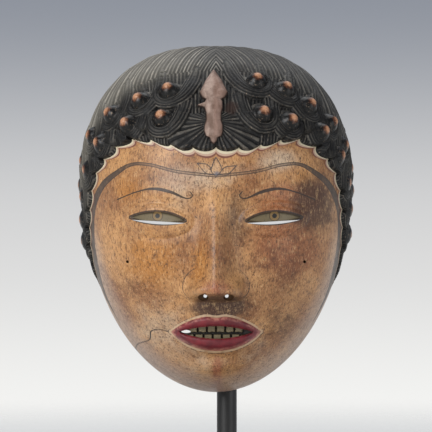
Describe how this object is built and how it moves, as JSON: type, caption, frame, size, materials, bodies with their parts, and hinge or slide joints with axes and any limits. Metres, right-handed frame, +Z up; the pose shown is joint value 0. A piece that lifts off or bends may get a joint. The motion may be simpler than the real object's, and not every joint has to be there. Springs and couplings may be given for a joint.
{
  "type": "topeng mask",
  "caption": "Carved and painted wooden dance mask with black snail-curl hair, hollow behind, hung on a black steel rod stand.",
  "frame": {"origin": "middle of the foot's underside, under the rod's axis", "axes": "+Z up along the rod, the face looks along -Y, +X to the viewer's right"},
  "size_m": [0.151, 0.1619, 0.275],
  "materials": {
    "painted_wood": "aged satin paint",
    "black_painted_steel": "satin"
  },
  "bodies": {
    "root": {"mask": "painted_wood", "stand_foot": "black_painted_steel", "stand_rod": "black_painted_steel"}
  },
  "joints": []
}
